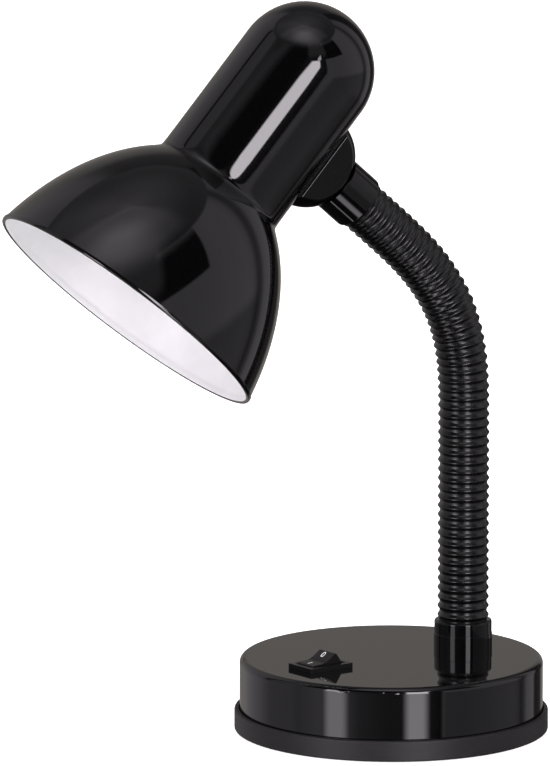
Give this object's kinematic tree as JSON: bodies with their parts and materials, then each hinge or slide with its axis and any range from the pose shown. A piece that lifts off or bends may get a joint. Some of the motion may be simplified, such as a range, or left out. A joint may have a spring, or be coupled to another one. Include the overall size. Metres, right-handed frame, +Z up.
{
  "type": "desk lamp",
  "caption": "Gooseneck desk lamp: bell shade on a ribbed bending neck, round weighted base with a rocker switch",
  "frame": {"origin": "middle of the base's rubber ring, on the table", "axes": "+Z is up; +X runs from the middle of the base to the foot of the neck, so the switch lies on -X; +Y completes the right-handed frame"},
  "size_m": [0.2219, 0.1534, 0.2987],
  "materials": {
    "satin_plastic": "moulded plastic, satin black",
    "foot_rubber": "soft black rubber",
    "black_lacquer": "deep gloss black lacquer on sheet steel; the shade is white inside",
    "ballast_iron": "raw cast iron",
    "zinc_steel": "zinc-plated steel",
    "terminal_plastic": "natural white plastic",
    "switch_plastic": "satin black moulded plastic",
    "contact_brass": "bare brass",
    "gloss_black_plastic": "gloss black moulding",
    "nickel_brass": "nickel-plated brass",
    "neck_sleeve_plastic": "semi-gloss black ribbed plastic sleeve",
    "neck_steel": "wound steel tube",
    "holder_plastic": "white moulded plastic"
  },
  "bodies": {
    "base": {"base_pan": "satin_plastic", "foot_ring_pad": "foot_rubber", "base_cover": "black_lacquer", "ballast_plate": "ballast_iron", "base_screws": "zinc_steel", "cord_grommet": "satin_plastic", "terminal_block": "terminal_plastic", "switch_housing": "switch_plastic", "switch_terminals": "contact_brass", "neck_foot_collar": "gloss_black_plastic", "neck_foot_nipple": "nickel_brass", "neck_foot_washer": "zinc_steel", "neck_foot_nut": "nickel_brass", "neck_sleeve_foot": "neck_sleeve_plastic", "neck_core_foot": "neck_steel"},
    "rocker": {"switch_rocker": "switch_plastic", "rocker_plunger": "terminal_plastic", "rocker_spring": "zinc_steel"},
    "contact_lever": {"switch_contact_lever": "contact_brass"},
    "neck_link_01": {"neck_sleeve_01": "neck_sleeve_plastic", "neck_core_01": "neck_steel"},
    "neck_link_02": {"neck_sleeve_02": "neck_sleeve_plastic", "neck_core_02": "neck_steel"},
    "neck_link_03": {"neck_sleeve_03": "neck_sleeve_plastic", "neck_core_03": "neck_steel"},
    "neck_link_04": {"neck_sleeve_04": "neck_sleeve_plastic", "neck_core_04": "neck_steel"},
    "neck_link_05": {"neck_sleeve_05": "neck_sleeve_plastic", "neck_core_05": "neck_steel"},
    "neck_link_06": {"neck_sleeve_06": "neck_sleeve_plastic", "neck_core_06": "neck_steel"},
    "neck_link_07": {"neck_sleeve_07": "neck_sleeve_plastic", "neck_core_07": "neck_steel"},
    "neck_link_08": {"neck_sleeve_08": "neck_sleeve_plastic", "neck_core_08": "neck_steel"},
    "neck_link_09": {"neck_sleeve_09": "neck_sleeve_plastic", "neck_core_09": "neck_steel"},
    "neck_link_10": {"neck_sleeve_10": "neck_sleeve_plastic", "neck_core_10": "neck_steel"},
    "neck_link_11": {"neck_sleeve_11": "neck_sleeve_plastic", "neck_core_11": "neck_steel"},
    "neck_link_12": {"neck_sleeve_12": "neck_sleeve_plastic", "neck_core_12": "neck_steel"},
    "head": {"neck_sleeve_head": "neck_sleeve_plastic", "neck_core_head": "neck_steel", "head_knuckle": "gloss_black_plastic", "head_nipple": "nickel_brass", "head_nut": "nickel_brass", "holder_bracket": "zinc_steel", "holder_nipple": "nickel_brass", "holder_nut": "nickel_brass", "holder_cap": "holder_plastic", "holder_skirt": "holder_plastic", "holder_insert": "holder_plastic", "holder_screw_shell": "contact_brass", "holder_centre_contact": "contact_brass", "shade_tube": "black_lacquer", "shade_bell": "black_lacquer"}
  },
  "joints": [
    {"name": "neck_bend_01", "type": "hinge", "parent": "base", "child": "neck_link_01", "pos_m": [0.0372, 0, 0.04814], "axis": [-0.193, -0.9812, 0], "range_deg": [-6, 6]},
    {"name": "neck_sway_02", "type": "hinge", "parent": "neck_link_01", "child": "neck_link_02", "pos_m": [0.0372, 0, 0.067], "axis": [0.9812, -0.193, 0], "range_deg": [-8, 8]},
    {"name": "neck_bend_03", "type": "hinge", "parent": "neck_link_02", "child": "neck_link_03", "pos_m": [0.0372, 0, 0.08586], "axis": [-0.193, -0.9812, 0], "range_deg": [-6, 6]},
    {"name": "neck_bend_04", "type": "hinge", "parent": "neck_link_03", "child": "neck_link_04", "pos_m": [0.0372, 0, 0.10472], "axis": [-0.193, -0.9812, 0], "range_deg": [-6, 6]},
    {"name": "neck_sway_05", "type": "hinge", "parent": "neck_link_04", "child": "neck_link_05", "pos_m": [0.0372, 0, 0.11981], "axis": [0.9812, -0.193, 0.0001], "range_deg": [-8, 8]},
    {"name": "neck_bend_06", "type": "hinge", "parent": "neck_link_05", "child": "neck_link_06", "pos_m": [0.0372, 0, 0.1349], "axis": [-0.193, -0.9812, 0], "range_deg": [-6, 6]},
    {"name": "neck_bend_07", "type": "hinge", "parent": "neck_link_06", "child": "neck_link_07", "pos_m": [0.03657, 0.00012, 0.1462], "axis": [-0.193, -0.9812, 0], "range_deg": [-9, 6]},
    {"name": "neck_bend_08", "type": "hinge", "parent": "neck_link_07", "child": "neck_link_08", "pos_m": [0.03473, 0.00049, 0.15736], "axis": [-0.193, -0.9812, 0], "range_deg": [-9, 6]},
    {"name": "neck_sway_09", "type": "hinge", "parent": "neck_link_08", "child": "neck_link_09", "pos_m": [0.03132, 0.00116, 0.16812], "axis": [0.9064, -0.1783, 0.383], "range_deg": [-8, 8]},
    {"name": "neck_bend_10", "type": "hinge", "parent": "neck_link_09", "child": "neck_link_10", "pos_m": [0.02626, 0.00215, 0.1782], "axis": [-0.193, -0.9812, 0], "range_deg": [-9, 6]},
    {"name": "neck_bend_11", "type": "hinge", "parent": "neck_link_10", "child": "neck_link_11", "pos_m": [0.01728, 0.00392, 0.19019], "axis": [-0.193, -0.9812, 0], "range_deg": [-9, 6]},
    {"name": "neck_sway_12", "type": "hinge", "parent": "neck_link_11", "child": "neck_link_12", "pos_m": [0.00664, 0.00601, 0.20069], "axis": [0.6654, -0.1309, 0.735], "range_deg": [-8, 8]},
    {"name": "neck_bend_13", "type": "hinge", "parent": "neck_link_12", "child": "head", "pos_m": [-0.00726, 0.00875, 0.21314], "axis": [-0.193, -0.9812, 0], "range_deg": [-9, 6]},
    {"name": "rocker_tilt", "type": "hinge", "parent": "base", "child": "rocker", "pos_m": [-0.0363, 0, 0.028], "axis": [0, 1, 0], "range_deg": [0, 36]},
    {"name": "contact_lever_tilt", "type": "hinge", "parent": "base", "child": "contact_lever", "pos_m": [-0.0363, 0, 0.02185], "axis": [0, 1, 0], "range_deg": [-16, 0]}
  ],
  "couplings": [
    {"joint": "neck_bend_03", "follows": "neck_bend_01", "ratio": 1},
    {"joint": "neck_bend_04", "follows": "neck_bend_01", "ratio": 1},
    {"joint": "neck_bend_06", "follows": "neck_bend_01", "ratio": 1},
    {"joint": "neck_sway_05", "follows": "neck_sway_02", "ratio": 1},
    {"joint": "neck_sway_09", "follows": "neck_sway_02", "ratio": 1},
    {"joint": "neck_sway_12", "follows": "neck_sway_02", "ratio": 1},
    {"joint": "neck_bend_08", "follows": "neck_bend_07", "ratio": 1},
    {"joint": "neck_bend_10", "follows": "neck_bend_07", "ratio": 1},
    {"joint": "neck_bend_11", "follows": "neck_bend_07", "ratio": 1},
    {"joint": "neck_bend_13", "follows": "neck_bend_07", "ratio": 1},
    {"joint": "contact_lever_tilt", "follows": "rocker_tilt", "ratio": -0.444}
  ]
}
